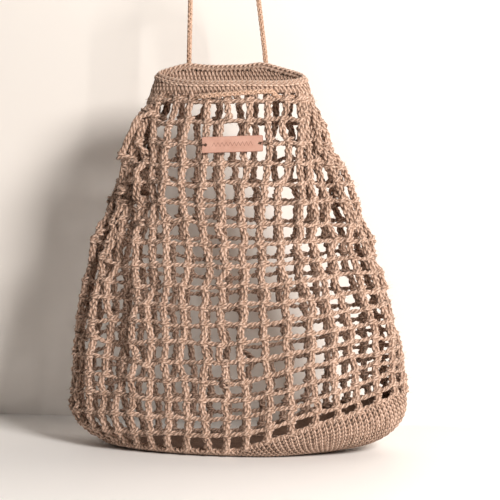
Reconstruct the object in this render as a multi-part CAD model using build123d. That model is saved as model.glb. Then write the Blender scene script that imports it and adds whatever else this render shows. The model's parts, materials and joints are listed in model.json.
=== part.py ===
from build123d import *
import math
import os

# Crocheted mesh produce bag, standing on its oval base with its drawstring pulled up into a strap.
# Sizes are in mm. The frame's origin is under the middle of the bag, on the table it stands on.
# +Z is up, the label faces -Y and +X is to the right of someone looking at the label.

# Bag body
bag_half_width = 172.0
bag_half_depth = 75.0
foot_half_width = 107.0
foot_half_depth = 45.0
widest_height = 48.0
mesh_top = 345.0
wall = 4.0
base_thickness = 5.0
taper_run = 16.0
taper_half_width = 77.0
taper_half_depth = 26.0
mouth_lean = -5.0

# The dense base ends in a slanted line, low at the left and high at the right.
base_line_height = 26.0
base_line_rise = 24.0

# Neck: the eyelet round, the rim band and its chain-stitch edge
eyelet_height = 12.0
rim_half_width = 71.0
rim_half_depth = 24.0
rim_front_rise = 16.0
rim_back_rise = 36.0
edge_chain_radius = 3.0
edge_chain_seat = 1.8
post_pitch = 19.8
crossing_room = 4.4
windows_each_face = 6
back_window_shift = 1.5

# Drawstring and strap, one crocheted cord
cord_radius = 2.5
cord_clearance = 0.8
leg_foot_rise = 3.0
left_exit_window = 0
right_exit_window = 4
left_front_window = 1
right_front_window = 5
strap_gap = 0.5
strap_leg_height = 88.0
strap_left_drift = 2.0
strap_right_drift = -11.0
strap_corner_rise = 19.5
strap_corner_run = 19.0
bend_share = 0.45

# Leather label and the threads that tie it on
label_length = 60.0
label_height = 16.0
label_thickness = 1.8
label_corner_radius = 1.2
label_centre_x = 4.5
label_centre_height = 305.0
label_turn = 2.0
label_wall_gap = 2.4
label_hole_inset = 3.4
label_hole_radius = 1.5
thread_radius = 0.6
thread_wall_gap = 0.4

# Heights that follow from the mesh's top
taper_end = mesh_top + taper_run
rim_front_height = mesh_top + rim_front_rise
rim_back_height = mesh_top + rim_back_rise


def taper_share(height):
    """How much of the widening is left at a height: 1 at the widest round and 0 where the taper ends."""
    return math.cos(math.pi / 2 * (height - widest_height) / (taper_end - widest_height))


def mesh_half_width(height):
    return taper_half_width + (bag_half_width - taper_half_width) * taper_share(height)


def mesh_half_depth(height):
    return taper_half_depth + (bag_half_depth - taper_half_depth) * taper_share(height)


def lean(height):
    """Sideways shift of the bag's middle, which grows from the widest round to the neck."""
    if height <= widest_height:
        return 0.0
    return mouth_lean * min(1.0, (height - widest_height) / (mesh_top - widest_height))


neck_bottom_half_width = mesh_half_width(mesh_top)
neck_bottom_half_depth = mesh_half_depth(mesh_top)
band_bottom = mesh_top + eyelet_height
neck_height = rim_back_height - mesh_top


def neck_half_width(height):
    share = (height - mesh_top) / neck_height
    return neck_bottom_half_width + (rim_half_width - neck_bottom_half_width) * share


def neck_half_depth(height):
    share = (height - mesh_top) / neck_height
    return neck_bottom_half_depth + (rim_half_depth - neck_bottom_half_depth) * share


def oval(height, half_width, half_depth):
    return Plane((lean(height), 0, height)) * Ellipse(half_width, half_depth)


# Outer and inner skins of the body: a rounded underside, then the long taper of the mesh.
def body_skin(inset, bottom_steps=6, taper_steps=9, spreading=1.5):
    sections = []
    for i in range(bottom_steps):
        angle = math.pi / 2 * i / bottom_steps
        spread = 1 - math.sin(angle)
        height = widest_height * (1 - math.cos(angle)) + inset * math.cos(angle)
        half_width = bag_half_width - (bag_half_width - foot_half_width) * spread - inset * math.sin(angle)
        half_depth = bag_half_depth - (bag_half_depth - foot_half_depth) * spread - inset * math.sin(angle)
        sections.append(oval(height, half_width, half_depth))
    for i in range(taper_steps + 1):
        height = widest_height + (mesh_top - widest_height) * (i / taper_steps) ** spreading
        sections.append(oval(height, mesh_half_width(height) - inset, mesh_half_depth(height) - inset))
    return loft(sections)


def neck_skin(inset):
    low = oval(mesh_top, neck_bottom_half_width - inset, neck_bottom_half_depth - inset)
    high = oval(rim_back_height, rim_half_width - inset, rim_half_depth - inset)
    return loft([low, high], ruled=True)


body_shell = body_skin(0) - body_skin(wall)
base_line = Plane(origin=(0, 0, base_line_height), z_dir=(-base_line_rise, 0, bag_half_width))
mesh_wall = split(body_shell, bisect_by=base_line, keep=Keep.TOP)
base_cup = split(body_shell, bisect_by=base_line, keep=Keep.BOTTOM)
base_panel = extrude(Ellipse(foot_half_width, foot_half_depth), base_thickness)
base_edge_round = base_cup - extrude(Ellipse(foot_half_width, foot_half_depth), base_line_height)


# Eyelet round: short posts in front and behind, with a window between each two, and a solid wall
# at each side, where the posts are gathered close.
def window_x(index, shift=0.0):
    return mouth_lean + shift + post_pitch * (index - (windows_each_face - 1) / 2)


neck_shell = neck_skin(0) - neck_skin(wall)
eyelet_slab = Pos(mouth_lean, 0, mesh_top) * Box(
    4 * bag_half_width,
    4 * bag_half_depth,
    eyelet_height,
    align=(Align.CENTER, Align.CENTER, Align.MIN),
)
window_width = 2 * (cord_radius + crossing_room)
window = Box(
    window_width,
    2 * neck_bottom_half_depth,
    2 * eyelet_height,
    align=(Align.CENTER, Align.MIN, Align.CENTER),
)
cord_height = mesh_top + eyelet_height / 2
eyelet_round = neck_shell & eyelet_slab
for index in range(windows_each_face):
    eyelet_round -= Pos(window_x(index, back_window_shift), 0, cord_height) * window
    eyelet_round -= Pos(window_x(index), -2 * neck_bottom_half_depth, cord_height) * window

# Rim: the band above the eyelets is cut on a slant, because the strap pulls its back up.
rim_middle_height = (rim_front_height + rim_back_height) / 2
rim_slope = (rim_back_height - rim_front_height) / (2 * rim_half_depth)
rim_plane = Plane(origin=(mouth_lean, 0, rim_middle_height), z_dir=(0, -rim_slope, 1))
rim_band = split(neck_shell - eyelet_slab, bisect_by=rim_plane, keep=Keep.BOTTOM)


def edge_chain_point(angle):
    """A point of the mouth's edge: mid-wall in the slanted plane, and up by the chain's seat."""
    narrowing = (neck_bottom_half_depth - rim_half_depth) / neck_height
    depth_at_zero = neck_bottom_half_depth + narrowing * mesh_top - wall / 2
    side = math.sin(angle)
    height = (rim_middle_height + rim_slope * side * depth_at_zero) / (1 + rim_slope * side * narrowing)
    x = mouth_lean + (neck_half_width(height) - wall / 2) * math.cos(angle)
    y = (neck_half_depth(height) - wall / 2) * side
    return (x, y, height + edge_chain_seat)


edge_chain_steps = 24
edge_points = [edge_chain_point(math.tau * i / edge_chain_steps) for i in range(edge_chain_steps)]
edge_path = Spline(edge_points, periodic=True)
edge_tube = sweep(Plane(edge_path ^ 0) * Circle(edge_chain_radius), path=edge_path)
rim_edge_chain = split(edge_tube, bisect_by=rim_plane, keep=Keep.TOP)


# Drawstring: from the left leg it goes in through a back window, round the left side inside the wall,
# out over the front posts, in again, round the right side and out through a back window to the right leg.
def neck_point(angle, offset):
    """A point beside the eyelet round's middle surface, out along its normal by an offset."""
    half_width = neck_half_width(cord_height) - wall / 2
    half_depth = neck_half_depth(cord_height) - wall / 2
    across = math.cos(angle) / half_width
    along = math.sin(angle) / half_depth
    size = math.hypot(across, along)
    x = mouth_lean + half_width * math.cos(angle) + offset * across / size
    y = half_depth * math.sin(angle) + offset * along / size
    return (x, y, cord_height)


def angle_at(x, face):
    """The angle at which the round's middle surface is at x, on the front (face -1) or the back (face 1)."""
    share = (x - mouth_lean) / (neck_half_width(cord_height) - wall / 2)
    return face * math.acos(share)


cord_offset = wall / 2 + cord_radius + cord_clearance
crossing_reach = window_width / 2
left_exit_x = window_x(left_exit_window, back_window_shift)
right_exit_x = window_x(right_exit_window, back_window_shift)
chain_back = rim_half_depth - wall / 2 + edge_chain_radius
leg_y = max(chain_back, neck_half_depth(cord_height)) + cord_radius + cord_clearance
rim_top = rim_back_height + edge_chain_seat + edge_chain_radius
strap_hinge_height = rim_top + cord_radius + strap_gap
drawstring_end = strap_hinge_height - cord_radius - strap_gap


def run_beside_wall(start_angle, end_angle, offset, steps):
    turn = (end_angle - start_angle) / steps
    return [neck_point(start_angle + turn * i, offset) for i in range(steps + 1)]


def leg_end(exit_x):
    """Up behind the rim band, from its foot to the strap's hinge."""
    return [(exit_x, leg_y, cord_height + leg_foot_rise), (exit_x, leg_y, drawstring_end)]


full_turn = math.tau
front_left_x = window_x(left_front_window)
front_right_x = window_x(right_front_window)
left_inside = run_beside_wall(
    angle_at(left_exit_x - crossing_reach, 1),
    full_turn + angle_at(front_left_x - crossing_reach, -1),
    offset=-cord_offset,
    steps=8,
)
front_outside = run_beside_wall(
    full_turn + angle_at(front_left_x + crossing_reach, -1),
    full_turn + angle_at(front_right_x - crossing_reach, -1),
    offset=cord_offset,
    steps=4,
)
right_inside = run_beside_wall(
    full_turn + angle_at(front_right_x + crossing_reach, -1),
    full_turn + angle_at(right_exit_x + crossing_reach, 1),
    offset=-cord_offset,
    steps=8,
)
drawstring_points = (
    list(reversed(leg_end(left_exit_x)))
    + [neck_point(angle_at(left_exit_x, 1), 0)]
    + left_inside
    + [neck_point(full_turn + angle_at(front_left_x, -1), 0)]
    + front_outside
    + [neck_point(full_turn + angle_at(front_right_x, -1), 0)]
    + right_inside
    + [neck_point(angle_at(right_exit_x, 1), 0)]
    + leg_end(right_exit_x)
)


def bend_radii(points):
    """At each inner point, the arc that takes up a share of the shorter run beside it."""
    radii = []
    for before, at, after in zip(points, points[1:], points[2:]):
        run_in = Vector(*at) - Vector(*before)
        run_out = Vector(*after) - Vector(*at)
        half_turn = math.radians(run_in.get_angle(run_out)) / 2
        radii.append(bend_share * min(run_in.length, run_out.length) / math.tan(half_turn))
    return radii


def cord_along(points):
    """The cord's centre line, its tube and its bends' radii, along straight runs joined by tangent arcs."""
    radii = bend_radii(points)
    path = FilletPolyline(*points, radius=radii)
    return path, sweep(Plane(path ^ 0) * Circle(cord_radius), path=path), radii


drawstring_path, drawstring_run, drawstring_radii = cord_along(drawstring_points)

# Strap: two taut legs that meet in a bend, in the plane of the legs.
corner_height = strap_hinge_height + strap_leg_height
bend_height = corner_height + strap_corner_rise
left_corner_x = left_exit_x + strap_left_drift
right_corner_x = right_exit_x + strap_right_drift
strap_points = [
    (left_exit_x, leg_y, strap_hinge_height),
    (left_corner_x, leg_y, corner_height),
    (left_corner_x + strap_corner_run, leg_y, bend_height),
    (right_corner_x - strap_corner_run, leg_y, bend_height),
    (right_corner_x, leg_y, corner_height),
    (right_exit_x, leg_y, strap_hinge_height),
]
strap_path, strap_loop, strap_radii = cord_along(strap_points)

# Label: a leather plate that leans with the mesh behind it, with a hole near each end.
wall_lean = math.degrees(
    math.atan2(
        mesh_half_depth(label_centre_height - label_height / 2)
        - mesh_half_depth(label_centre_height + label_height / 2),
        label_height,
    )
)
label_y = -(mesh_half_depth(label_centre_height) + label_wall_gap + label_thickness / 2)
label_place = (
    Pos(label_centre_x, label_y, label_centre_height) * Rot(X=-wall_lean) * Rot(Y=-label_turn) * Rot(X=90)
)
hole_x = label_length / 2 - label_hole_inset
label_sketch = RectangleRounded(label_length, label_height, label_corner_radius)
label_sketch -= Locations((-hole_x, 0), (hole_x, 0)) * Circle(label_hole_radius)
label_plate = label_place * extrude(label_sketch, label_thickness / 2, both=True)


# Ties: a thread through each hole, round the end of the plate and back in front of the wall.
def wall_depth_at(x):
    share = (x - lean(label_centre_height)) / mesh_half_width(label_centre_height)
    return mesh_half_depth(label_centre_height) * math.sqrt(1 - share**2)


def label_tie(side):
    reach = -label_y - wall_depth_at(label_centre_x + side * hole_x) - thread_radius - thread_wall_gap
    ring = Torus(reach, thread_radius)
    return label_place * Pos(side * (hole_x + reach), 0, 0) * Rot(X=90) * ring


label_tie_left = label_tie(-1)
label_tie_right = label_tie(1)

nodes = {
    "base_panel": base_panel,
    "base_edge_round": base_edge_round,
    "mesh_wall": mesh_wall,
    "eyelet_round": eyelet_round,
    "rim_band": rim_band,
    "rim_edge_chain": rim_edge_chain,
    "drawstring_run": drawstring_run,
    "strap_loop": strap_loop,
    "label_plate": label_plate,
    "label_tie_left": label_tie_left,
    "label_tie_right": label_tie_right,
}
os.makedirs("parts", exist_ok=True)
for name, shape in nodes.items():
    export_step(shape, f"parts/{name}.step")

cord_section = math.pi * cord_radius**2
print("strap bend radii:", [round(radius, 1) for radius in strap_radii])
print("strap length:", round(strap_path.length, 1))
print("strap volume over section x length:", round(strap_loop.volume / (cord_section * strap_path.length), 3))
print("drawstring length:", round(drawstring_path.length, 1))
print("drawstring volume ratio:", round(drawstring_run.volume / (cord_section * drawstring_path.length), 3))
print("strap hinge:", round(leg_y, 2), round(strap_hinge_height, 2))
print("label pivot:", label_centre_x, round(label_y, 2), label_centre_height)
print("wall lean:", round(wall_lean, 2))
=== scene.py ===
import json
import math

import bpy
import numpy as np
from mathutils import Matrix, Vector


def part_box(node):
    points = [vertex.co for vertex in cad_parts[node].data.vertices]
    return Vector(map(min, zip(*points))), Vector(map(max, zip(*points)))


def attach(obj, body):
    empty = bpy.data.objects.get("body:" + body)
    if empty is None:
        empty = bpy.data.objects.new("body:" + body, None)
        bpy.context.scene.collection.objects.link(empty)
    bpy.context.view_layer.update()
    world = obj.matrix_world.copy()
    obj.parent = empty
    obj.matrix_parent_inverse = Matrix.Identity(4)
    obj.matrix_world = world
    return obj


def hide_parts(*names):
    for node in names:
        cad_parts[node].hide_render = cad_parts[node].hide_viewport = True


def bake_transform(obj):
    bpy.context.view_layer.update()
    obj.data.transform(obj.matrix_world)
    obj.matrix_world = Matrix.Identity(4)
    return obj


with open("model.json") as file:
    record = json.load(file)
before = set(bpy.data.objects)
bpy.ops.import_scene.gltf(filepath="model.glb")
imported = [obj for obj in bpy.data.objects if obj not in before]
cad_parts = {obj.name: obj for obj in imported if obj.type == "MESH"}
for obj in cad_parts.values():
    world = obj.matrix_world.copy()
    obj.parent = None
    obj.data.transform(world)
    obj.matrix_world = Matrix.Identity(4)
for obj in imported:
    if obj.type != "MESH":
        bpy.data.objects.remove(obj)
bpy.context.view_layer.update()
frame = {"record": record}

# Camera: a little to the right of the bag's front and a little above the table, on a long lens.
# The stage is a pale table that meets a pale backdrop, under soft light. The backdrop stands just
# clear of the strap when it falls back, and only its front is painted, so the bag's back shows too.
camera_azimuth = math.radians(9.0)
camera_elevation = math.radians(4.0)
camera_distance = 1.6
camera_target = (0.015, 0.0, 0.1993)
camera_lens = 115.2
table_size = 4.0
backdrop_y = 0.150
backdrop_height = 2.0
stage_white = (0.93, 0.91, 0.89)
backdrop_white = (0.92, 0.865, 0.81)


def plain_material(name, colour, roughness):
    material = bpy.data.materials.new(name)
    material.use_nodes = True
    shader = material.node_tree.nodes["Principled BSDF"]
    shader.inputs["Base Color"].default_value = (*colour, 1)
    shader.inputs["Roughness"].default_value = roughness
    return material


def flat_sheet(name, corners, material):
    mesh = bpy.data.meshes.new(name)
    mesh.from_pydata(corners, [], [(0, 1, 2, 3)])
    mesh.materials.append(material)
    sheet = bpy.data.objects.new(name, mesh)
    bpy.context.collection.objects.link(sheet)
    return sheet


def area_light(name, place, aim, size, power, colour):
    lamp = bpy.data.lights.new(name, "AREA")
    lamp.size = size
    lamp.energy = power
    lamp.color = colour
    holder = bpy.data.objects.new(name, lamp)
    holder.location = place
    to_aim = [a - b for a, b in zip(aim, place)]
    holder.rotation_euler = Vector(to_aim).to_track_quat("-Z", "Y").to_euler()
    bpy.context.collection.objects.link(holder)


back = Vector(
    (
        math.sin(camera_azimuth) * math.cos(camera_elevation),
        -math.cos(camera_azimuth) * math.cos(camera_elevation),
        math.sin(camera_elevation),
    )
)
camera = bpy.data.objects.new("camera", bpy.data.cameras.new("camera"))
camera.data.lens = camera_lens
camera.location = Vector(camera_target) + back * camera_distance
camera.rotation_euler = (-back).to_track_quat("-Z", "Y").to_euler()
bpy.context.collection.objects.link(camera)
bpy.context.scene.camera = camera

half = table_size / 2
table = flat_sheet(
    "table",
    [(-half, -half, 0), (half, -half, 0), (half, half, 0), (-half, half, 0)],
    plain_material("table white", stage_white, 0.55),
)
backdrop_paint = plain_material("backdrop white", backdrop_white, 0.9)
nodes, links = backdrop_paint.node_tree.nodes, backdrop_paint.node_tree.links
see_through = nodes.new("ShaderNodeBsdfTransparent")
side_of_sheet = nodes.new("ShaderNodeNewGeometry")
one_sided = nodes.new("ShaderNodeMixShader")
links.new(side_of_sheet.outputs["Backfacing"], one_sided.inputs["Fac"])
links.new(nodes["Principled BSDF"].outputs[0], one_sided.inputs[1])
links.new(see_through.outputs[0], one_sided.inputs[2])
links.new(one_sided.outputs[0], nodes["Material Output"].inputs["Surface"])
backdrop = flat_sheet(
    "backdrop",
    [
        (-half, backdrop_y, 0),
        (half, backdrop_y, 0),
        (half, backdrop_y, backdrop_height),
        (-half, backdrop_y, backdrop_height),
    ],
    backdrop_paint,
)
area_light("window light", (1.05, -1.20, 0.90), (0, 0, 0.2), 0.45, 40.0, (1.0, 0.965, 0.93))
area_light("room light", (-1.2, -1.3, 0.9), (0, 0, 0.2), 1.4, 1.0, (1.0, 0.93, 0.88))
sky = bpy.data.worlds.new("room")
sky.use_nodes = True
sky.node_tree.nodes["Background"].inputs["Color"].default_value = (1.0, 0.98, 0.96, 1)
sky.node_tree.nodes["Background"].inputs["Strength"].default_value = 0.06
bpy.context.scene.world = sky
bpy.context.scene.view_settings.view_transform = "Standard"

# Yarn: two-ply jute and cotton, the colour of milky tea. Every stitch of the bag and its cord is
# this yarn. A strand is first a bare line of points, and a Geometry Nodes tree gives it its round
# section, with a map that runs along the strand and round it for the twist of the plies.
# yarn_dark is the colour's dark end. Darker fibres use it, and so does the painted shade between plies.
yarn_light = (0.76, 0.54, 0.425)
yarn_mid = (0.44, 0.28, 0.20)
yarn_dark = (0.13, 0.072, 0.046)


def socket_name(tree, name):
    """The identifier of a tree's input, which a modifier takes its values by."""
    return next(i.identifier for i in tree.interface.items_tree if i.name == name and i.in_out == "INPUT")


def node_adder(nodes):
    """A short way to add a node and its settings to a tree."""

    def add(kind, **settings):
        node = nodes.new(kind)
        for key, value in settings.items():
            setattr(node, key, value)
        return node

    return add


def maths_adder(nodes, links):
    """A short way to add a sum to a material. Each term is a number or another node's output."""

    def maths(operation, *terms):
        node = nodes.new("ShaderNodeMath")
        node.operation = operation
        for place, term in enumerate(terms):
            if isinstance(term, (int, float)):
                node.inputs[place].default_value = term
            else:
                links.new(term, node.inputs[place])
        return node.outputs[0]

    return maths


def noise_shade(nodes, links, scale, detail=2.0):
    """Unevenness of one size, fixed to the object."""
    spot, noise = nodes.new("ShaderNodeTexCoord"), nodes.new("ShaderNodeTexNoise")
    noise.inputs["Scale"].default_value = scale
    noise.inputs["Detail"].default_value = detail
    links.new(spot.outputs["Object"], noise.inputs["Vector"])
    return noise.outputs["Fac"]


def add_relief(nodes, links, height, strength, distance):
    """Fine relief on a material's surface."""
    relief = nodes.new("ShaderNodeBump")
    relief.inputs["Strength"].default_value = strength
    relief.inputs["Distance"].default_value = distance
    links.new(height, relief.inputs["Height"])
    links.new(relief.outputs["Normal"], nodes["Principled BSDF"].inputs["Normal"])


def strand_tree():
    """Turns lines of points into round strands. The lines carry each point's thickness."""
    tree = bpy.data.node_groups.new("yarn strand", "GeometryNodeTree")
    face = tree.interface
    face.new_socket("Geometry", in_out="INPUT", socket_type="NodeSocketGeometry")
    face.new_socket("Sides", in_out="INPUT", socket_type="NodeSocketInt")
    face.new_socket("Yarn", in_out="INPUT", socket_type="NodeSocketMaterial")
    face.new_socket("Geometry", in_out="OUTPUT", socket_type="NodeSocketGeometry")

    add = node_adder(tree.nodes)

    def wire(source, target):
        tree.links.new(source, target)

    inward, outward = add("NodeGroupInput"), add("NodeGroupOutput")
    to_curve = add("GeometryNodeMeshToCurve")
    wire(inward.outputs["Geometry"], to_curve.inputs["Mesh"])
    thickness = add("GeometryNodeInputNamedAttribute", data_type="FLOAT")
    thickness.inputs["Name"].default_value = "thickness"
    along = add("GeometryNodeSplineParameter")
    keep_along = add("GeometryNodeCaptureAttribute", domain="POINT")
    keep_along.capture_items.new("FLOAT", "along")
    wire(to_curve.outputs["Curve"], keep_along.inputs["Geometry"])
    wire(along.outputs["Length"], keep_along.inputs["along"])
    ring = add("GeometryNodeCurvePrimitiveCircle")
    wire(inward.outputs["Sides"], ring.inputs["Resolution"])
    ring.inputs["Radius"].default_value = 1.0
    around = add("GeometryNodeSplineParameter")
    keep_around = add("GeometryNodeCaptureAttribute", domain="POINT")
    keep_around.capture_items.new("FLOAT", "around")
    wire(ring.outputs["Curve"], keep_around.inputs["Geometry"])
    wire(around.outputs["Factor"], keep_around.inputs["around"])
    skin = add("GeometryNodeCurveToMesh")
    skin.inputs["Fill Caps"].default_value = True
    wire(keep_along.outputs["Geometry"], skin.inputs["Curve"])
    wire(keep_around.outputs["Geometry"], skin.inputs["Profile Curve"])
    wire(thickness.outputs["Attribute"], skin.inputs["Scale"])
    # The last face round the strand runs from near one to zero, so its zero corners are lifted to one.
    face_mean = add("GeometryNodeFieldOnDomain", data_type="FLOAT", domain="FACE")
    wire(keep_around.outputs["around"], face_mean.inputs["Value"])
    shortfall = add("ShaderNodeMath", operation="SUBTRACT")
    wire(face_mean.outputs["Value"], shortfall.inputs[0])
    wire(keep_around.outputs["around"], shortfall.inputs[1])
    lift = add("ShaderNodeMath", operation="GREATER_THAN")
    wire(shortfall.outputs[0], lift.inputs[0])
    lift.inputs[1].default_value = 0.25
    closed = add("ShaderNodeMath", operation="ADD")
    wire(keep_around.outputs["around"], closed.inputs[0])
    wire(lift.outputs[0], closed.inputs[1])
    pair = add("ShaderNodeCombineXYZ")
    wire(keep_along.outputs["along"], pair.inputs["X"])
    wire(closed.outputs[0], pair.inputs["Y"])
    store = add("GeometryNodeStoreNamedAttribute", data_type="FLOAT2", domain="CORNER")
    store.inputs["Name"].default_value = "twist map"
    wire(skin.outputs["Mesh"], store.inputs["Geometry"])
    wire(pair.outputs[0], store.inputs["Value"])
    smooth = add("GeometryNodeSetShadeSmooth")
    wire(store.outputs["Geometry"], smooth.inputs["Geometry"])
    real = add("GeometryNodeRealizeInstances")
    wire(smooth.outputs["Geometry"], real.inputs["Geometry"])
    dye = add("GeometryNodeSetMaterial")
    wire(real.outputs["Geometry"], dye.inputs["Geometry"])
    wire(inward.outputs["Yarn"], dye.inputs["Material"])
    wire(dye.outputs["Geometry"], outward.inputs["Geometry"])
    return tree


def yarn_material(name, light, mid, dark, ply_pitch, bump):
    """Spun yarn: slanting plies along each strand with painted highlight on their crests and painted shade in
    their grooves, fine fibres, uneven dye and a soft fuzz sheen.
    """
    material = bpy.data.materials.new(name)
    material.use_nodes = True
    nodes, links = material.node_tree.nodes, material.node_tree.links
    shader = nodes["Principled BSDF"]
    shader.inputs["Roughness"].default_value = 0.88
    shader.inputs["Specular IOR Level"].default_value = 0.22
    shader.inputs["Sheen Weight"].default_value = 0.35
    shader.inputs["Sheen Roughness"].default_value = 0.5
    shader.inputs["Sheen Tint"].default_value = (1.0, 0.86, 0.74, 1)

    add, maths = node_adder(nodes), maths_adder(nodes, links)
    twist = add("ShaderNodeUVMap", uv_map="twist map")
    parts = add("ShaderNodeSeparateXYZ")
    links.new(twist.outputs["UV"], parts.inputs[0])
    turns = maths("MULTIPLY", parts.outputs["X"], 1.0 / ply_pitch)
    phase = maths("ADD", turns, maths("MULTIPLY", parts.outputs["Y"], 2.0))
    ply = maths("SINE", maths("MULTIPLY", phase, math.tau))
    fine = maths("SINE", maths("MULTIPLY", phase, math.tau * 3.0))
    fibre = noise_shade(nodes, links, 1600.0, 3.0)
    cloud = noise_shade(nodes, links, 60.0)
    strand_tint = add("ShaderNodeAttribute", attribute_name="tint")
    fuzz_relief = maths("MULTIPLY_ADD", fine, 0.14, maths("MULTIPLY", fibre, 0.9))
    height = maths("MULTIPLY_ADD", ply, 0.5, fuzz_relief)
    mottle = maths("MULTIPLY_ADD", fibre, 0.62, maths("MULTIPLY", cloud, 0.34))
    # Colour: the ply wave is painted highlight and shade, lighter on the crests and darker in the grooves
    # between plies. The fibre and cloud mottle and the strand's tint are the yarn's own uneven colour.
    shade = maths("ADD", maths("MULTIPLY_ADD", ply, 0.27, mottle), strand_tint.outputs["Fac"])
    ramp = add("ShaderNodeValToRGB")
    ramp.color_ramp.elements[0].position = 0.12
    ramp.color_ramp.elements[0].color = (*dark, 1)
    ramp.color_ramp.elements[1].position = 0.92
    ramp.color_ramp.elements[1].color = (*light, 1)
    middle = ramp.color_ramp.elements.new(0.46)
    middle.color = (*mid, 1)
    links.new(shade, ramp.inputs["Fac"])
    links.new(ramp.outputs["Color"], shader.inputs["Base Color"])
    add_relief(nodes, links, height, bump, 0.0006)
    return material


strands_to_tubes = strand_tree()
mesh_yarn = yarn_material("jute yarn", yarn_light, yarn_mid, yarn_dark, 0.0052, 1.0)


class Strands:
    """Lines of points waiting to become one piece, each with its thickness and tint."""

    def __init__(self):
        self.points, self.edges, self.thickness, self.tint = [], [], [], []
        self.count = 0

    def add(self, line, radius, tint=0.0, closed=False):
        line = np.asarray(line, float)
        n = len(line)
        ids = np.arange(n) + self.count
        pairs = np.column_stack([ids[:-1], ids[1:]])
        if closed:
            pairs = np.vstack([pairs, [[ids[-1], ids[0]]]])
        self.points.append(line)
        self.edges.append(pairs)
        self.thickness.append(np.broadcast_to(radius, n).astype(float))
        self.tint.append(np.full(n, tint))
        self.count += n

    def piece(self, name, material, sides=6):
        mesh = bpy.data.meshes.new(name + " lines")
        points, edges = np.concatenate(self.points), np.concatenate(self.edges)
        mesh.from_pydata(points.tolist(), edges.tolist(), [])
        for key, values in (("thickness", self.thickness), ("tint", self.tint)):
            layer = mesh.attributes.new(key, "FLOAT", "POINT")
            layer.data.foreach_set("value", np.concatenate(values))
        lines = bpy.data.objects.new(name + " lines", mesh)
        bpy.context.collection.objects.link(lines)
        knit = lines.modifiers.new("strands", "NODES")
        knit.node_group = strands_to_tubes
        knit[socket_name(strands_to_tubes, "Sides")] = sides
        knit[socket_name(strands_to_tubes, "Yarn")] = material
        bpy.context.view_layer.update()
        done = lines.evaluated_get(bpy.context.evaluated_depsgraph_get())
        result = bpy.data.meshes.new_from_object(done)
        result.name = name
        bpy.data.objects.remove(lines)
        bpy.data.meshes.remove(mesh)
        piece = bpy.data.objects.new(name, result)
        bpy.context.collection.objects.link(piece)
        return piece


def finish_piece(piece, body, slot, *nodes):
    """Puts a finished piece on its body and hides the CAD nodes it stands for. The slot is not used."""
    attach(piece, body)
    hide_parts(*nodes)


# The bag's skin: an oval that is widest low down and tapers to the neck, with a rounded underside.
# It is the surface that every stitch sits on. Columns are counted round it from the front's middle.
wall_low, wall_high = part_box("mesh_wall")
foot_low, foot_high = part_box("base_panel")
eyelet_low, eyelet_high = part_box("eyelet_round")
band_low, band_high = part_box("rim_band")
wide = np.array([wall_high[0] - wall_low[0], wall_high[1] - wall_low[1]]) / 2
foot = np.array([foot_high[0] - foot_low[0], foot_high[1] - foot_low[1]]) / 2
neck = np.array([eyelet_high[0] - eyelet_low[0], eyelet_high[1] - eyelet_low[1]]) / 2
rim = np.array([0.071, 0.024])
mouth_lean = (eyelet_high[0] + eyelet_low[0]) / 2
widest_z, mesh_top, rim_top = 0.048, wall_high[2], band_high[2]
taper_end = mesh_top + 0.016
right_columns, left_columns, rounds = 9, 11, 18
columns = 2 * (right_columns + left_columns)
front_pitch, natural_cell = 0.0207, 0.0205
seat_depth = 0.0031
# The gathered sides fall in pleats. A crease on the right front and a fold on the left front are
# long hollows, each with its middle column, its width in columns, its depth and how far up it runs.
pleat_start, pleat_depth, pleat_bias = 0.40, 0.42, 0.6
pleat_pace, pleat_sway, pleat_ripple = 0.86, 1.3, 0.35
pleat_end = 0.93
crease = (6.2, 0.8, 0.011, 1.4)
fold = (columns - 6.4, 1.0, 0.013, 1.1)
random = np.random.default_rng(11)


def half_sizes(z):
    """Half the oval's width and depth at each height."""
    z = np.asarray(z, float)[..., None]
    low = np.clip(z, 0, widest_z)
    turned = np.arccos(1 - low / widest_z)
    under = wide - (wide - foot) * (1 - np.sin(turned))
    left = np.cos(math.pi / 2 * np.clip(z - widest_z, 0, mesh_top - widest_z) / (taper_end - widest_z))
    left_at_top = math.cos(math.pi / 2 * (mesh_top - widest_z) / (taper_end - widest_z))
    taper = neck + (wide - neck) * (left - left_at_top) / (1 - left_at_top)
    throat = neck + (rim - neck) * (z - mesh_top) / (rim_top - mesh_top)
    return np.where(z < widest_z, under, np.where(z < mesh_top, taper, throat))


def lean(z):
    return mouth_lean * np.clip((z - widest_z) / (mesh_top - widest_z), 0, 1)


def sole_rise(x, z):
    """The underside lifts off the table a little towards the bag's right end."""
    reach = np.clip((x - 0.035) / 0.075, 0, 1)
    return 0.0040 * reach**2 * (3 - 2 * reach) * np.clip(1 - z / 0.055, 0, 1)


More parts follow.
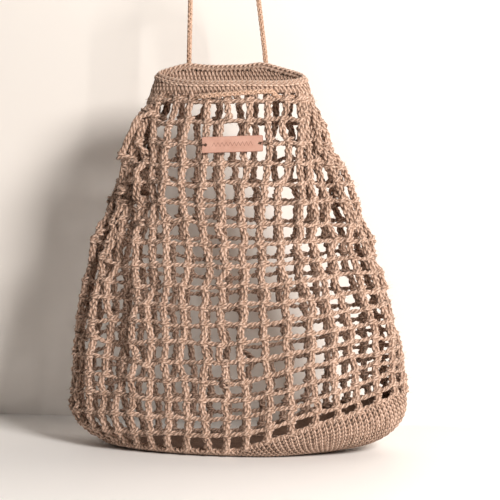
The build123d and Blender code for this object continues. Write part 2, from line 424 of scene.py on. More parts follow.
def arc_angles(sizes, share, worked, steps=40):
    """The oval's angle at a share of its quarter, and the spacing there, with the side's columns gathered."""
    turn = np.linspace(0, math.pi / 2, steps)
    a, b = sizes[..., 0:1], sizes[..., 1:2]
    pace = np.sqrt((a * np.cos(turn)) ** 2 + (b * np.sin(turn)) ** 2)
    length = np.concatenate(
        [np.zeros_like(a), np.cumsum((pace[..., 1:] + pace[..., :-1]) / 2, axis=-1) * turn[1]], axis=-1
    )
    quarter = length[..., -1]
    crowd = np.maximum(1.0, np.minimum(front_pitch * worked / quarter, 2.1))
    slack = (1 - pleat_start * crowd) / (1 - pleat_start)
    sharpness = 14.0

    def soft(q):
        one, two = crowd * q, 1 - slack * (1 - q)
        return -np.log(np.exp(-sharpness * one) + np.exp(-sharpness * two)) / sharpness

    def gather(q):
        return soft(q) - (soft(np.zeros_like(q)) * (1 - q) + (soft(np.ones_like(q)) - 1) * q)

    place = gather(share) * quarter
    step = 0.02
    spacing = (gather(np.minimum(share + step, 1)) - gather(np.maximum(share - step, 0))) / (2 * step)
    index = np.clip((length < place[..., None]).sum(axis=-1) - 1, 0, steps - 2)
    before = np.take_along_axis(length, index[..., None], -1)[..., 0]
    after = np.take_along_axis(length, index[..., None] + 1, -1)[..., 0]
    angle = (index + (place - before) / (after - before)) * turn[1]
    return angle, spacing * quarter / worked


def hollow(column, rise, middle, width, depth, reach):
    """The depth of a long soft hollow that runs up the bag."""
    return depth * np.exp(-(((column - middle) / width) ** 2)) * np.sin(math.pi * np.clip(rise * reach, 0, 1))


def skin_point(column, z, out=0.0, pleated=1.0):
    """The point on the skin at a column and a height, moved out from it, with or without pleats."""
    column, z = np.broadcast_arrays(np.asarray(column, float) % columns, np.asarray(z, float))
    to_left = column > 2 * right_columns
    worked = np.where(to_left, left_columns, right_columns).astype(float)
    from_back = np.abs(column - 2 * right_columns)
    behind = from_back < worked
    share = np.where(behind, from_back, np.minimum(column, columns - column)) / worked
    sizes = half_sizes(z)
    angle, spacing = arc_angles(sizes, share, worked)
    side = np.where(to_left, -1.0, 1.0)
    face = np.where(behind, 1.0, -1.0)
    across, along = np.sin(angle), np.cos(angle)
    normal_x, normal_y = across / sizes[..., 0], along / sizes[..., 1]
    size = np.hypot(normal_x, normal_y)
    spare = np.sqrt(np.maximum(natural_cell**2 - np.minimum(spacing, natural_cell) ** 2, 0)) / 2
    rise = np.clip((z - widest_z) / (mesh_top - widest_z), 0, 1)
    settle = 1 - np.clip((z - mesh_top * pleat_end) / (mesh_top * (1 - pleat_end)), 0, 1)
    wave = np.cos(math.pi * column * pleat_pace + pleat_sway * np.sin(rise * 5 + column))
    wave = wave + pleat_ripple * np.sin(column * 2.3 + rise * 7)
    pleat = spare * pleat_depth * (wave - pleat_bias) * settle * (rise > 0)
    move = out + pleated * (pleat - hollow(column, rise, *crease) - hollow(column, rise, *fold))
    x = lean(z) + side * (sizes[..., 0] * across + move * normal_x / size)
    y = face * (sizes[..., 1] * along + move * normal_y / size)
    return np.stack([x, y, z + sole_rise(x, z)], axis=-1)


def even_columns(count, z, shift=0.0):
    """Columns whose points lie evenly round the oval at a height."""
    fine = np.linspace(0, columns, 721)
    line = skin_point(fine, np.full(len(fine), z), 0, 0.0)
    gone = np.concatenate([[0], np.cumsum(np.linalg.norm(np.diff(line, axis=0), axis=1))])
    return np.interp((np.arange(count) + shift) / count * gone[-1], gone, fine)


def skin_frame(column, z, pleated=1.0):
    """A point on the skin with its directions: outward, to the right along the round, and up."""
    step, lift = 0.05, 0.0012
    here = skin_point(column, z, 0, pleated)
    right = skin_point(column + step, z, 0, pleated) - skin_point(column - step, z, 0, pleated)
    below = skin_point(column, np.maximum(z - lift, 0), 0, pleated)
    up = skin_point(column, z + lift, 0, pleated) - below
    right /= np.linalg.norm(right, axis=-1, keepdims=True)
    up /= np.linalg.norm(up, axis=-1, keepdims=True)
    outward = np.cross(right, up)
    outward /= np.linalg.norm(outward, axis=-1, keepdims=True)
    return here, outward, right, up


# The open mesh: posts of double crochet, two plies wound round a core, with a chain of two stitches
# between the heads of neighbouring posts. Each head is a loop laid over the chain. All jute yarn.
base_low, base_slope, base_turn_x = 0.0045, 0.37, 0.010
base_fade = 2.5
top_round_rise = 0.0035
# Each rope has the radius of its core, the radius of its yarn, its plies and its turns.
post_rope, chain_rope = (0.0020, 0.0018, 3, 0.9), (0.00105, 0.00145, 2, 1.3)
# The two loops of a head: half their width, how far they stand out and how high they sit.
head_loops = ((0.0040, 0.0031, 0.0013), (0.0036, 0.0028, -0.0016))
loop_yarn = 0.00155
node_stray, node_drift, node_lift, round_wave = 0.045, 0.10, 0.0007, 0.0011
crumple_across, crumple_up, crumple_out = 0.32, 0.0040, 0.0065


def base_line(x):
    """Height at which the dense base gives way to the open mesh: low at the left, high at the right."""
    return base_low + base_slope * np.maximum(x - base_turn_x, 0)


column_ids = np.arange(columns)
round_ids = np.arange(rounds + 1)
start_x = skin_point(column_ids, np.full(columns, 0.03))[:, 0]
start_z = base_line(start_x)
node_u = column_ids[:, None] + random.normal(0, node_stray, (columns, rounds + 1))
node_u += node_drift * np.sin(0.8 * round_ids[None, :] + 0.5 * column_ids[:, None])
round_share = round_ids / rounds
round_share = 0.92 * round_share + 0.08 * round_share**2
node_z = base_low + (mesh_top + top_round_rise - base_low) * round_share[None, :]
node_z = node_z + (start_z - base_low)[:, None] * (1 - round_ids[None, :] / rounds) ** base_fade
wobble = random.normal(0, node_lift, node_z.shape)
wobble += round_wave * np.sin(0.7 * column_ids[:, None] + 1.1 * round_ids[None, :])
node_z += wobble * np.minimum(1, (rounds - round_ids[None, :]) / 2) * (round_ids[None, :] > 0)
# Where the columns are gathered closer than they were worked, the mesh crumples.
flat_nodes = skin_point(column_ids[:, None], node_z, 0, 0.0)
apart = np.linalg.norm(np.roll(flat_nodes, -1, axis=0) - np.roll(flat_nodes, 1, axis=0), axis=2) / 2
gathered = np.clip(1.15 - apart / front_pitch, 0, 1) * (round_ids[None, :] > 0)
gathered *= np.where(flat_nodes[..., 0] < 0, 1.5, 1.0) * np.clip((node_z - 0.02) / 0.06, 0, 1)
node_u += random.normal(0, crumple_across, node_u.shape) * gathered
node_z += random.normal(0, crumple_up, node_u.shape) * gathered * (round_ids[None, :] < rounds)
node_out = crumple_out * np.clip(random.normal(-0.4, 1.0, node_u.shape), -2.0, 0.15)
node_out *= gathered * (round_ids[None, :] < rounds)


def rope(bundle, centre, outward, right, kind, phase, tint):
    """Winds plies of yarn round a centre line."""
    core, yarn, plies, turns = kind
    along = np.linspace(0, 1, len(centre))
    swell = 1 + 0.12 * np.sin(math.pi * along)
    for ply in range(plies):
        angle = phase + math.tau * (ply / plies + turns * along)
        offset = core * swell * np.cos(angle)
        shift = core * swell * np.sin(angle)
        line = centre + outward * offset[:, None] + right * shift[:, None]
        line = line + random.normal(0, 0.00030, line.shape)
        bundle.add(line, yarn * random.uniform(0.86, 1.14, len(line)), tint + random.normal(0, 0.04))


def face_name(column):
    return "back" if right_columns < column % columns < 2 * right_columns + left_columns else "front"


posts = {"front": Strands(), "back": Strands()}
chains = {"front": Strands(), "back": Strands()}
heads = {"front": Strands(), "back": Strands()}
along = np.linspace(0, 1, 8)
for column in column_ids:
    for row in range(rounds):
        u = node_u[column, row] + (node_u[column, row + 1] - node_u[column, row]) * along
        u = u + 0.07 * np.sin(math.pi * along) * random.normal(0, 1)
        z = node_z[column, row] + (node_z[column, row + 1] - node_z[column, row]) * along
        out = node_out[column, row] + (node_out[column, row + 1] - node_out[column, row]) * along
        centre, outward, right, up = skin_frame(u, z)
        centre = centre + outward * (out - seat_depth)[:, None]
        tint = random.normal(0, 0.035)
        phase = random.uniform(0, math.tau)
        rope(posts[face_name(column)], centre, outward, right, post_rope, phase, tint)
    for row in range(rounds + 1):
        after = (column + 1) % columns
        u_to = node_u[after, row] + (columns if after == 0 else 0)
        u = node_u[column, row] + (u_to - node_u[column, row]) * along
        z = node_z[column, row] + (node_z[after, row] - node_z[column, row]) * along
        sag = random.normal(0.0006, 0.0007)
        z = np.maximum(z - sag * np.sin(math.pi * along), 0.002)
        out = node_out[column, row] + (node_out[after, row] - node_out[column, row]) * along
        centre, outward, right, up = skin_frame(u, z)
        centre = centre + outward * (out - seat_depth + 0.0004)[:, None]
        tint = random.normal(0.02, 0.035)
        phase = random.uniform(0, math.tau)
        rope(chains[face_name(column)], centre, outward, up, chain_rope, phase, tint)
        # The head of the post: a loop that leans over the chain, and a wrap below it.
        head = slice(row, row + 1)
        head_frame = skin_frame(node_u[column, head], node_z[column, head])
        here, outward, right, up = (v[0] for v in head_frame)
        here = here + outward * (node_out[column, row] - seat_depth)
        ring = np.linspace(0, math.tau, 10)[:-1]
        tilt = random.normal(0.35, 0.15)
        lift = random.normal(0.0004, 0.0004)
        for slope, (reach, thick, drop) in zip((tilt, -tilt), head_loops):
            loop = (
                here
                + right * (reach * np.cos(ring))[:, None]
                + outward * (thick * np.sin(ring))[:, None]
                + up * (lift + drop + slope * reach * np.cos(ring))[:, None]
            )
            heads[face_name(column)].add(loop, loop_yarn, random.normal(0.05, 0.035), closed=True)

for face in ("front", "back"):
    for name, bundle, sides in (
        (f"mesh_posts_{face}", posts[face], 6),
        (f"mesh_chains_{face}", chains[face], 5),
        (f"post_heads_{face}", heads[face], 5),
    ):
        finish_piece(bundle.piece(name, mesh_yarn, sides), "bag", "mesh_yarn", "mesh_wall")

# Dense base: an oval worked round and round in single crochet, which turns up at its edge and ends
# at the open mesh. Each stitch is a V of yarn over a solid ground that is the yarn's colour in painted shade.
base_rings, edge_rows, stitch_pitch = 8, 16, 0.0045
edge_turn = 0.122
ground_inset, ground_thickness = 0.0030, 0.0015
stitch_yarn = 0.0013
# A stitch has its width, its height, the radius of its yarn and how far it bulges.
base_stitch = (stitch_pitch, 0.0056, stitch_yarn, 0.0011)
edge_stitch_width, edge_stitch_height, edge_stitch_extra, edge_stitch_bulge = 0.0050, 0.0030, 0.0012, 0.0017
edge_stitch_floor = 0.0020


def stitch_v(bundle, centre, outward, right, up, size, tint):
    """One V of a crochet row."""
    width, height, yarn, bulge = size
    t = np.linspace(0, 1, 5)
    for side in (-1, 1):
        line = (
            centre
            + right * (side * width * (0.14 + 0.30 * t))[:, None]
            + up * (height * (t - 0.5) * 1.25)[:, None]
            + outward * (bulge * np.sin(math.pi * t) - 0.0012)[:, None]
        )
        bundle.add(line, yarn, tint + random.normal(0, 0.025))


def closed_grid(name, outer, inner, material):
    """A band with an outer and an inner face, closed along its two edges. Rows go up and columns round."""
    rows, cols = outer.shape[:2]
    points = np.concatenate([outer.reshape(-1, 3), inner.reshape(-1, 3)])
    faces = []
    inside = rows * cols
    for r in range(rows - 1):
        for c in range(cols):
            d = (c + 1) % cols
            low, high = r * cols, (r + 1) * cols
            faces.append((low + c, low + d, high + d, high + c))
            faces.append((inside + low + c, inside + high + c, inside + high + d, inside + low + d))
    for c in range(cols):
        d = (c + 1) % cols
        top = (rows - 1) * cols
        faces.append((c, inside + c, inside + d, d))
        faces.append((top + c, top + d, inside + top + d, inside + top + c))
    mesh = bpy.data.meshes.new(name)
    mesh.from_pydata(points.tolist(), [], faces)
    mesh.materials.append(material)
    mesh.polygons.foreach_set("use_smooth", [True] * len(faces))
    piece = bpy.data.objects.new(name, mesh)
    bpy.context.collection.objects.link(piece)
    return piece


def shaded_ground_material(name, dark, mid):
    """The ground under dense stitches: the same yarn darkened into painted shade, with a matted texture."""
    material = plain_material(name, mid, 0.95)
    nodes, links = material.node_tree.nodes, material.node_tree.links
    noise = noise_shade(nodes, links, 420.0, 5.0)
    ramp = nodes.new("ShaderNodeValToRGB")
    ramp.color_ramp.elements[0].color = (*dark, 1)
    ramp.color_ramp.elements[1].color = (*mid, 1)
    links.new(noise, ramp.inputs["Fac"])
    links.new(ramp.outputs["Color"], nodes["Principled BSDF"].inputs["Base Color"])
    add_relief(nodes, links, noise, 0.8, 0.001)
    return material


shaded_ground = shaded_ground_material("yarn ground in painted shade", (0.07, 0.038, 0.023), (0.24, 0.145, 0.098))
bottom, edge = Strands(), Strands()
line_half = foot[0] - foot[1]
for ring in range(1, base_rings + 1):
    share = (ring - 0.5) / base_rings
    ring_size = np.array([line_half + foot[1] * share, foot[1] * share])
    perimeter = math.tau * math.sqrt((ring_size**2).sum() / 2)
    for turn in np.arange(0, math.tau, math.tau * stitch_pitch / perimeter):
        centre = np.array([ring_size[0] * math.sin(turn), -ring_size[1] * math.cos(turn), 0.0014])
        right = np.array([ring_size[0] * math.cos(turn), ring_size[1] * math.sin(turn), 0])
        right /= np.linalg.norm(right)
        outward = np.array([0, 0, -1.0])
        up = np.cross(outward, right)
        stitch_v(bottom, centre, outward, right, up, base_stitch, random.normal(0, 0.04))


def underside_turn(z):
    """How far round the underside's curve a height is, in radians. Above the curve it runs on straight."""
    return np.arccos(1 - np.minimum(z, widest_z) / widest_z) + np.maximum(z - widest_z, 0) / widest_z


def underside_height(turned):
    quarter_turn = math.pi / 2
    return widest_z * (1 - np.cos(np.minimum(turned, quarter_turn)) + np.maximum(turned - quarter_turn, 0))


edge_count = 150
for row in range(edge_rows):
    u = even_columns(edge_count, 0.02, 0.5 * (row % 2))
    x = skin_point(u, np.full(edge_count, 0.02), 0, 0.0)[:, 0]
    turned = underside_turn(base_line(x) + 0.001) - edge_turn * (row + 0.4)
    here, outward, right, up = skin_frame(u, underside_height(np.maximum(turned, 0)), 0.0)
    for i in np.flatnonzero(turned > 0.05):
        centre = here[i] - outward[i] * 0.0010
        centre[2] = max(centre[2], edge_stitch_floor)
        height = edge_stitch_height + edge_stitch_extra * abs(outward[i][0])
        size = (edge_stitch_width, height, stitch_yarn, edge_stitch_bulge)
        stitch_v(edge, centre, outward[i], right[i], up[i], size, random.normal(0, 0.06))

finish_piece(bottom.piece("base_stitches", mesh_yarn, 5), "bag", "mesh_yarn", "base_panel")
finish_piece(edge.piece("base_edge_stitches", mesh_yarn, 5), "bag", "mesh_yarn", "base_edge_round")

# The ground in painted shade stays just above the table, behind the stitches.
ground_floor = 0.0016
round_cols = np.linspace(0, columns, 121)[:-1]
line_z = base_line(skin_point(round_cols, np.full(len(round_cols), 0.03))[:, 0]) - 0.001
grades = np.linspace(0, 1, 10) ** 2
ground_z = grades[:, None] * line_z[None, :]
outer = skin_point(round_cols[None, :], ground_z, -ground_inset, 0.0)
inner = skin_point(round_cols[None, :], ground_z, -ground_inset - ground_thickness, 0.0)
outer[..., 2] = np.maximum(outer[..., 2], ground_floor)
inner[..., 2] = np.maximum(inner[..., 2], ground_floor) + 0.0012
finish_piece(closed_grid("base_edge_ground", outer, inner, shaded_ground), "bag", "mesh_yarn", "base_edge_round")
floor_rings = np.linspace(0.001, 1.0, 12)
floor_turn = np.linspace(0, math.tau, 121)[:-1]
floor_sizes = np.stack([line_half + foot[1] * floor_rings, foot[1] * floor_rings])
floor_x = floor_sizes[0][:, None] * np.sin(floor_turn)
floor_y = -floor_sizes[1][:, None] * np.cos(floor_turn)
under = np.stack([floor_x, floor_y, np.full_like(floor_x, ground_floor)], axis=-1)
over = under + np.array([0, 0, 0.0020])
finish_piece(closed_grid("base_ground", over[::-1], under[::-1], shaded_ground), "bag", "mesh_yarn", "base_panel")

# Neck: the eyelet round's short posts, the dense band above them, worked on both faces, and the
# chain-stitch edge. The strap pulls the back of the rim up. The same yarn throughout.
band_bottom = eyelet_high[2]
rim_front_z, rim_back_z = 0.3615, 0.3795
leg_x = (-0.0530, 0.0262)
leg_pull, leg_spread = 0.0028, 0.013
right_dip, left_rise, edge_wave = 0.0035, 0.0015, 0.0005
wall = 0.004
eyelet_rope = (0.0020, 0.0018, 3, 0.45)


def rim_edge(column):
    """Height of the mouth's edge: low in front, high behind, and highest where the strap's legs pull."""
    edge = skin_point(column, rim_top, 0, 0.0)
    turn = np.arctan2((edge[..., 0] - mouth_lean) / rim[0], -edge[..., 1] / rim[1])
    x = edge[..., 0]
    z = (rim_front_z + rim_back_z) / 2 - (rim_back_z - rim_front_z) / 2 * np.cos(turn)
    behind = np.clip(-np.cos(turn), 0, 1)
    for leg in leg_x:
        z = z + leg_pull * behind * np.exp(-(((x - leg) / leg_spread) ** 2))
    z = z - right_dip * np.clip(np.sin(turn), 0, 1) ** 2 + left_rise * np.clip(-np.sin(turn), 0, 1) ** 2
    return z + edge_wave * np.sin(5 * turn + 1.0)


eyelets, band, lip = Strands(), Strands(), Strands()
short = np.linspace(0, 1, 6)
for column in column_ids:
    u = node_u[column, rounds] + (column - node_u[column, rounds]) * short
    z = node_z[column, rounds] + (band_bottom + 0.001 - node_z[column, rounds]) * short
    centre, outward, right, up = skin_frame(u, z)
    centre = centre - outward * seat_depth
    tint = random.normal(0, 0.035)
    rope(eyelets, centre, outward, right, eyelet_rope, random.uniform(0, math.tau), tint)

band_count, band_rows, row_height = 84, 6, 0.0041
band_stitch = (0.0042, row_height * 1.2, stitch_yarn, 0.0011)
for face in (1.0, -1.0):
    for row in range(band_rows):
        u = even_columns(band_count, band_bottom, 0.5 * (row % 2))
        z = band_bottom + row_height * (row + 0.5)
        here, outward, right, up = skin_frame(u, np.full(band_count, z), 0.0)
        top = rim_edge(u)
        for i in np.flatnonzero(z < top - 0.0008):
            centre = here[i] + outward[i] * (0.0002 if face > 0 else -wall - 0.0002)
            tint = random.normal(0.02, 0.04)
            stitch_v(band, centre, outward[i] * face, right[i] * face, up[i], band_stitch, tint)

lip_count = 66
u = even_columns(lip_count, rim_top)
lip_z = rim_edge(u) + 0.0012
lip_line = skin_point(u, lip_z, -wall / 2, 0.0)
ahead = np.roll(lip_line, -1, axis=0) - np.roll(lip_line, 1, axis=0)
ahead /= np.linalg.norm(ahead, axis=1, keepdims=True)
out_way = np.cross(ahead, (0, 0, 1.0))
out_way /= np.linalg.norm(out_way, axis=1, keepdims=True)
over = np.cross(out_way, ahead)
pitch = np.linalg.norm(np.roll(lip_line, -1, axis=0) - lip_line, axis=1)
# Each link of the edge is two Vs: a broad one on its crown and a small one inside the mouth.
crown_width, crown_yarn, crown_bulge = 0.0070, 0.0016, 0.0018
inner_width, inner_bulge = 0.0056, 0.0014
for i in range(lip_count):
    tint = random.normal(0.05, 0.03)
    length = pitch[i] * 1.15
    crown = 0.70 * out_way[i] + 0.72 * over[i]
    centre = lip_line[i] + over[i] * 0.0012 + out_way[i] * 0.0012
    size = (crown_width, length, crown_yarn, crown_bulge)
    # The crown's V is given a lighter tint than the inner one: a painted highlight on the top of the edge.
    stitch_v(lip, centre, crown, np.cross(ahead[i], crown), ahead[i], size, tint + 0.08)
    inner_way = -0.75 * out_way[i] + 0.66 * over[i]
    centre = lip_line[i] + over[i] * 0.0010 - out_way[i] * 0.0014
    size = (inner_width, length, stitch_yarn, inner_bulge)
    stitch_v(lip, centre, inner_way, np.cross(ahead[i], inner_way), ahead[i], size, tint)

finish_piece(eyelets.piece("eyelet_posts", mesh_yarn, 6), "bag", "mesh_yarn", "eyelet_round")
finish_piece(band.piece("rim_band_stitches", mesh_yarn, 5), "bag", "mesh_yarn", "rim_band")
finish_piece(lip.piece("rim_edge_stitches", mesh_yarn, 5), "bag", "mesh_yarn", "rim_edge_chain")
# The band's ground between its two faces is the yarn in painted shade.
band_steps = np.linspace(0, 1, 5)[:, None]
band_z = band_bottom - 0.0008 + (rim_edge(round_cols)[None, :] + 0.001 - band_bottom) * band_steps
outer = skin_point(round_cols[None, :], band_z, -0.0009, 0.0)
inner = skin_point(round_cols[None, :], band_z, -wall + 0.0009, 0.0)
finish_piece(closed_grid("rim_band_ground", outer, inner, shaded_ground), "bag", "mesh_yarn", "rim_band")

# Cord: one crocheted cord, drawstring and strap in one, of six thin yarns plaited round. It runs
# inside the neck, out over the front posts, and leaves through the back to rise as the strap.
cord_diameter = 0.005
plait_core, plait_yarn, plait_length, plait_over = 0.00155, 0.00100, 0.0150, 0.00022
strap_y, hinge_z = frame["record"]["behaviour"]["joints"][0]["pos_m"][1:]
cord_z = (mesh_top + band_bottom) / 2
window_pitch, window_half = 0.0198, 0.0069
cord_reach = wall / 2 + cord_diameter / 2 + 0.0008
# The cord's colour, like the mesh yarn's, has painted highlight and shade on its plies.
cord_light, cord_mid, cord_dark = (0.76, 0.52, 0.39), (0.56, 0.35, 0.24), (0.32, 0.18, 0.11)
cord_yarn = yarn_material("cord yarn", cord_light, cord_mid, cord_dark, 0.0042, 0.7)


def spline_points(name, route, steps=14):
    """The smooth line that a route's points draw."""
    curve = bpy.data.curves.new(name, "CURVE")
    curve.dimensions = "3D"
    curve.resolution_u = steps
    line = curve.splines.new("NURBS")
    line.points.add(len(route) - 1)
    for point, place in zip(line.points, route):
        point.co = (*place, 1.0)
    line.order_u = 3
    line.use_endpoint_u = True
    holder = bpy.data.objects.new(name, curve)
    bpy.context.collection.objects.link(holder)
    bpy.context.view_layer.update()
    mesh = bpy.data.meshes.new_from_object(holder.evaluated_get(bpy.context.evaluated_depsgraph_get()))
    points = np.array([v.co for v in mesh.vertices])
    bpy.data.objects.remove(holder)
    bpy.data.meshes.remove(mesh)
    return points


def even_points(points, spacing):
    """The same line with its points a set distance apart."""
    steps = np.linalg.norm(np.diff(points, axis=0), axis=1)
    gone = np.concatenate([[0], np.cumsum(steps)])
    count = max(int(round(gone[-1] / spacing)), 2)
    at = np.linspace(0, gone[-1], count + 1)
    return np.column_stack([np.interp(at, gone, points[:, i]) for i in range(3)]), at


def plait(name, route_points):
    """Six yarns round a line, three each way, that pass over and under each other."""
    line, at = even_points(route_points, 0.0013)
    ahead = np.gradient(line, axis=0)
    ahead /= np.linalg.norm(ahead, axis=1, keepdims=True)
    side = np.zeros_like(line)
    start = np.cross(ahead[0], (0.3, 0.9, 0.2))
    side[0] = start / np.linalg.norm(start)
    for i in range(1, len(line)):
        turned = side[i - 1] - ahead[i] * (side[i - 1] @ ahead[i])
        side[i] = turned / np.linalg.norm(turned)
    other = np.cross(ahead, side)
    bundle = Strands()
    spin = math.tau * at / plait_length
    for way in (1, -1):
        for yarn in range(3):
            angle = way * spin + math.tau * yarn / 3
            reach = plait_core + way * plait_over * np.cos(3 * spin)
            strand = line + side * (reach * np.cos(angle))[:, None] + other * (reach * np.sin(angle))[:, None]
            bundle.add(strand, plait_yarn, random.normal(0.03, 0.03))
    return bundle.piece(name, cord_yarn, 6), line, at[-1]


def neck_route_point(angle, offset):
    """A point beside the eyelet round's middle surface, out along its normal."""
    sizes = half_sizes(np.array([cord_z]))[0] - wall / 2
    normal = np.array([math.cos(angle) / sizes[0], math.sin(angle) / sizes[1]])
    normal /= np.linalg.norm(normal)
    return (
        mouth_lean + sizes[0] * math.cos(angle) + offset * normal[0],
        sizes[1] * math.sin(angle) + offset * normal[1],
        cord_z,
    )


def back_angle(x):
    """The angle of a place on the back face, from the bag's right end."""
    return math.acos((x - mouth_lean) / (half_sizes(np.array([cord_z]))[0][0] - wall / 2))


def front_angle(x):
    """The angle of a place on the front face, which follows the back's past the left end."""
    return math.tau - back_angle(x)


def beside_wall(start, end, offset, steps):
    return [neck_route_point(start + (end - start) * i / steps, offset) for i in range(steps + 1)]


front_in, front_out = mouth_lean - 1.5 * window_pitch, mouth_lean + 2.5 * window_pitch
leg_foot = [(leg_x[0], strap_y, cord_z + 0.003), (leg_x[1], strap_y, cord_z + 0.003)]
to_left_end = (back_angle(leg_x[0] - window_half), front_angle(front_in - window_half))
over_front = (front_angle(front_in + window_half), front_angle(front_out - window_half))
to_right_end = (front_angle(front_out + window_half), math.tau + back_angle(leg_x[1] + window_half))
drawstring_route = (
    [(leg_x[0], strap_y, hinge_z - 0.008), leg_foot[0], neck_route_point(back_angle(leg_x[0]), 0)]
    + beside_wall(*to_left_end, -cord_reach, 8)
    + [neck_route_point(front_angle(front_in), 0)]
    + beside_wall(*over_front, cord_reach, 4)
    + [neck_route_point(front_angle(front_out), 0)]
    + beside_wall(*to_right_end, -cord_reach, 8)
    + [neck_route_point(back_angle(leg_x[1]), 0), leg_foot[1], (leg_x[1], strap_y, hinge_z - 0.008)]
)
run_points = spline_points("drawstring_route", drawstring_route)
# Over the front posts the cord climbs a little from left to right.
in_front = np.clip((-run_points[:, 1] - 0.020) / 0.006, 0, 1)
run_points[:, 2] += in_front * (np.clip((run_points[:, 0] - mouth_lean) / 0.040, -1, 1) * 0.0030 + 0.0026)
drawstring, run_line, run_length = plait("drawstring", run_points)
finish_piece(drawstring, "bag", "cord_yarn", "drawstring_run")

strap_bend_start, strap_bend_end = 0.010, 0.012
strap_route = [
    (leg_x[0], strap_y, hinge_z - strap_bend_start),
    (-0.0530, strap_y, 0.3888),
    (-0.0521, strap_y, 0.4188),
    (-0.0514, strap_y, 0.4496),
    (-0.0510, strap_y, 0.4768),
    (-0.0320, strap_y, 0.4963),
    (-0.0038, strap_y, 0.4963),
    (0.0152, strap_y, 0.4768),
    (0.0186, strap_y, 0.4496),
    (0.0225, strap_y, 0.4188),
    (0.0262, strap_y, 0.3888),
    (leg_x[1], strap_y, hinge_z - strap_bend_start),
]
strap_points = spline_points("strap_route", strap_route)
strap, strap_line, strap_length = plait("strap", strap_points)
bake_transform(strap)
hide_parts("strap_loop")

# Label: a strip of smooth vegetable-tanned leather with rounded corners and a hole near each end,
# pressed with a plain zigzag. It leans with the mesh behind it and can rock on its two ties.
label_hinge = next(j for j in frame["record"]["behaviour"]["joints"] if j["name"] == "label_tilt")
label_size, label_thick, label_corner, label_bevel = (0.0600, 0.0160), 0.0018, 0.0012, 0.0003
hole_inset, hole_radius = 0.0034, 0.0015
label_turn = math.radians(2.0)
# The zigzag's rise over each half wave, its line and its reach, and the darker edge, in millimetres.
half_wave, mark_slope, mark_line, mark_reach = 2.0, 2.0, 0.42, 20.0
dark_edge_x, dark_edge_y = 29.5, 7.55
label_z = label_hinge["pos_m"][2]
slope = half_sizes(np.array([label_z - label_size[1] / 2, label_z + label_size[1] / 2]))[:, 1]
label_lean = math.atan2(slope[0] - slope[1], label_size[1])
label_place = (
    Matrix.Translation(label_hinge["pos_m"])
    @ Matrix.Rotation(-label_lean, 4, "X")
    @ Matrix.Rotation(-label_turn, 4, "Y")
    @ Matrix.Rotation(math.pi / 2, 4, "X")
)


def leather_material():
    material = plain_material("label leather", (0.50, 0.27, 0.195), 0.52)
    nodes, links = material.node_tree.nodes, material.node_tree.links
    shader = nodes["Principled BSDF"]
    shader.inputs["Specular IOR Level"].default_value = 0.35
    flat = nodes.new("ShaderNodeUVMap")
    flat.uv_map = "label map"
    parts = nodes.new("ShaderNodeSeparateXYZ")
    links.new(flat.outputs["UV"], parts.inputs[0])

    # The map is in millimetres from the label's middle.
    maths = maths_adder(nodes, links)
    across, up = parts.outputs["X"], parts.outputs["Y"]
    zigzag = maths("PINGPONG", maths("ADD", across, 2 * mark_reach), half_wave)
    wave_height = maths("MULTIPLY", maths("SUBTRACT", zigzag, half_wave / 2), mark_slope)
    pressed = maths("LESS_THAN", maths("ABSOLUTE", maths("SUBTRACT", up, wave_height)), mark_line)
    mark = maths("MULTIPLY", pressed, maths("LESS_THAN", maths("ABSOLUTE", across), mark_reach))
    edge_x = maths("GREATER_THAN", maths("ABSOLUTE", across), dark_edge_x)
    edge_y = maths("GREATER_THAN", maths("ABSOLUTE", up), dark_edge_y)
    rim_shade = maths("MAXIMUM", edge_x, edge_y)
    grain = noise_shade(nodes, links, 1400.0, 4.0)
    cloud = noise_shade(nodes, links, 110.0)
    ramp = nodes.new("ShaderNodeValToRGB")
    ramp.color_ramp.elements[0].position = 0.3
    ramp.color_ramp.elements[0].color = (0.47, 0.25, 0.185, 1)
    ramp.color_ramp.elements[1].position = 0.7
    ramp.color_ramp.elements[1].color = (0.58, 0.335, 0.26, 1)
    mottle = maths("MULTIPLY_ADD", grain, 0.35, maths("MULTIPLY", cloud, 0.65))
    links.new(mottle, ramp.inputs["Fac"])
    shade = nodes.new("ShaderNodeMixRGB")
    shade.inputs["Color2"].default_value = (0.16, 0.06, 0.035, 1)
    darkness = maths("MAXIMUM", maths("MULTIPLY", mark, 0.8), maths("MULTIPLY", rim_shade, 0.45))
    links.new(darkness, shade.inputs["Fac"])
    links.new(ramp.outputs["Color"], shade.inputs["Color1"])
    links.new(shade.outputs["Color"], shader.inputs["Base Color"])
    add_relief(nodes, links, maths("SUBTRACT", maths("MULTIPLY", grain, 0.25), mark), 0.6, 0.0004)
    return material


outline = bpy.data.curves.new("label_outline", "CURVE")
outline.dimensions = "2D"
outline.fill_mode = "BOTH"
outline.extrude = label_thick / 2 - label_bevel
outline.bevel_depth = label_bevel
outline.bevel_resolution = 2
outline.offset = -label_bevel


def outline_ring(points):
    ring = outline.splines.new("POLY")
    ring.points.add(len(points) - 1)
    for point, (x, y) in zip(ring.points, points):
        point.co = (x, y, 0, 1)
    ring.use_cyclic_u = True


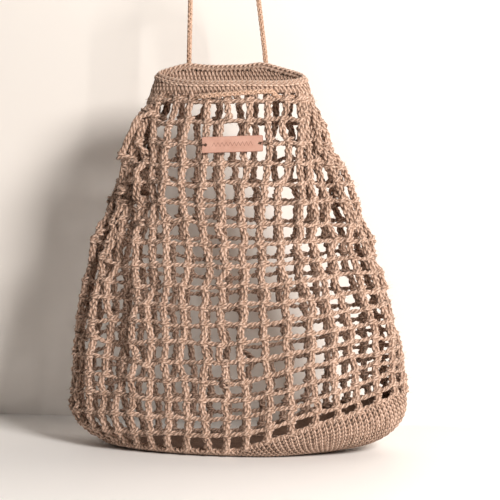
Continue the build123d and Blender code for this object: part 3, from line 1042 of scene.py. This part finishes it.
corner_turn = np.linspace(0, math.pi / 2, 6)
plate = []
for quarter_turn, (sx, sy) in enumerate(((1, 1), (-1, 1), (-1, -1), (1, -1))):
    cx = sx * (label_size[0] / 2 - label_corner)
    cy = sy * (label_size[1] / 2 - label_corner)
    turned = corner_turn + quarter_turn * math.pi / 2
    plate += list(zip(cx + label_corner * np.cos(turned), cy + label_corner * np.sin(turned)))
outline_ring(plate)
hole_turn = np.linspace(0, math.tau, 25)[:-1]
for side in (-1, 1):
    hole_x = side * (label_size[0] / 2 - hole_inset)
    hole = zip(hole_x + hole_radius * np.cos(hole_turn), -hole_radius * np.sin(hole_turn))
    outline_ring(list(hole))
holder = bpy.data.objects.new("label_outline", outline)
bpy.context.collection.objects.link(holder)
bpy.context.view_layer.update()
label_mesh = bpy.data.meshes.new_from_object(holder.evaluated_get(bpy.context.evaluated_depsgraph_get()))
bpy.data.objects.remove(holder)
label_map = label_mesh.uv_layers.new(name="label map")
for loop in label_mesh.loops:
    place = label_mesh.vertices[loop.vertex_index].co
    label_map.data[loop.index].uv = (place.x * 1000, place.y * 1000)
label_mesh.transform(label_place)
label_mesh.materials.clear()
label_mesh.materials.append(leather_material())
label = bpy.data.objects.new("leather_label", label_mesh)
bpy.context.collection.objects.link(label)
finish_piece(label, "label", "label_leather", "label_plate")

# Ties: dark waxed thread through each hole of the label and round the yarn behind it.
tie_thread = plain_material("tie thread", (0.10, 0.055, 0.035), 0.6)
thread_radius, ply_offset, ply_radius = 0.0006, 0.00030, 0.00038
for side, node in ((-1, "label_tie_left"), (1, "label_tie_right")):
    low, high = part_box(node)
    reach = (high[0] - low[0]) / 2 - thread_radius
    hole_x = side * (label_size[0] / 2 - hole_inset)
    tie = Strands()
    for ply in (0, 1):
        turn = np.linspace(0, math.tau, 37)[:-1]
        swing = 5 * turn + math.pi * ply
        radius = reach + ply_offset * np.cos(swing)
        x = hole_x + side * reach + radius * np.cos(turn)
        z = radius * np.sin(turn)
        y = ply_offset * np.sin(swing)
        line = np.array([label_place @ Vector(p) for p in zip(x, y, z)])
        tie.add(line, ply_radius, 0.0, closed=True)
    name = "tie_left" if side < 0 else "tie_right"
    finish_piece(tie.piece(name, tie_thread, 6), "bag", "tie_thread", node)

# Loose fibres: jute sheds short stiff hairs all over, each one rooted in a strand.
hairs_each_face, hair_radius = 6000, 0.00014
for face in ("front", "back"):
    roots = np.concatenate(posts[face].points + heads[face].points + chains[face].points)
    chosen = roots[random.integers(0, len(roots), hairs_each_face)]
    away = chosen - np.array([mouth_lean / 2, 0, 0])
    away[:, 2] = 0
    away /= np.linalg.norm(away, axis=1, keepdims=True)
    push = random.uniform(0.1, 0.9, (hairs_each_face, 1))
    heading = away * push + random.normal(0, 0.7, (hairs_each_face, 3))
    heading /= np.linalg.norm(heading, axis=1, keepdims=True)
    curl = random.normal(0, 0.5, (hairs_each_face, 3))
    reach = random.uniform(0.0028, 0.0062, hairs_each_face)
    fuzz = Strands()
    for root, way, bend, long in zip(chosen, heading, curl, reach):
        hair = np.array([root, root + way * long * 0.55, root + (way + bend * 0.5) * long])
        hair[:, 2] = np.maximum(hair[:, 2], 0.0015)
        fuzz.add(hair, np.array([1.0, 0.8, 0.4]) * hair_radius, 0.15)
    finish_piece(fuzz.piece(f"loose_fibres_{face}", mesh_yarn, 3), "bag", "mesh_yarn", "mesh_wall")
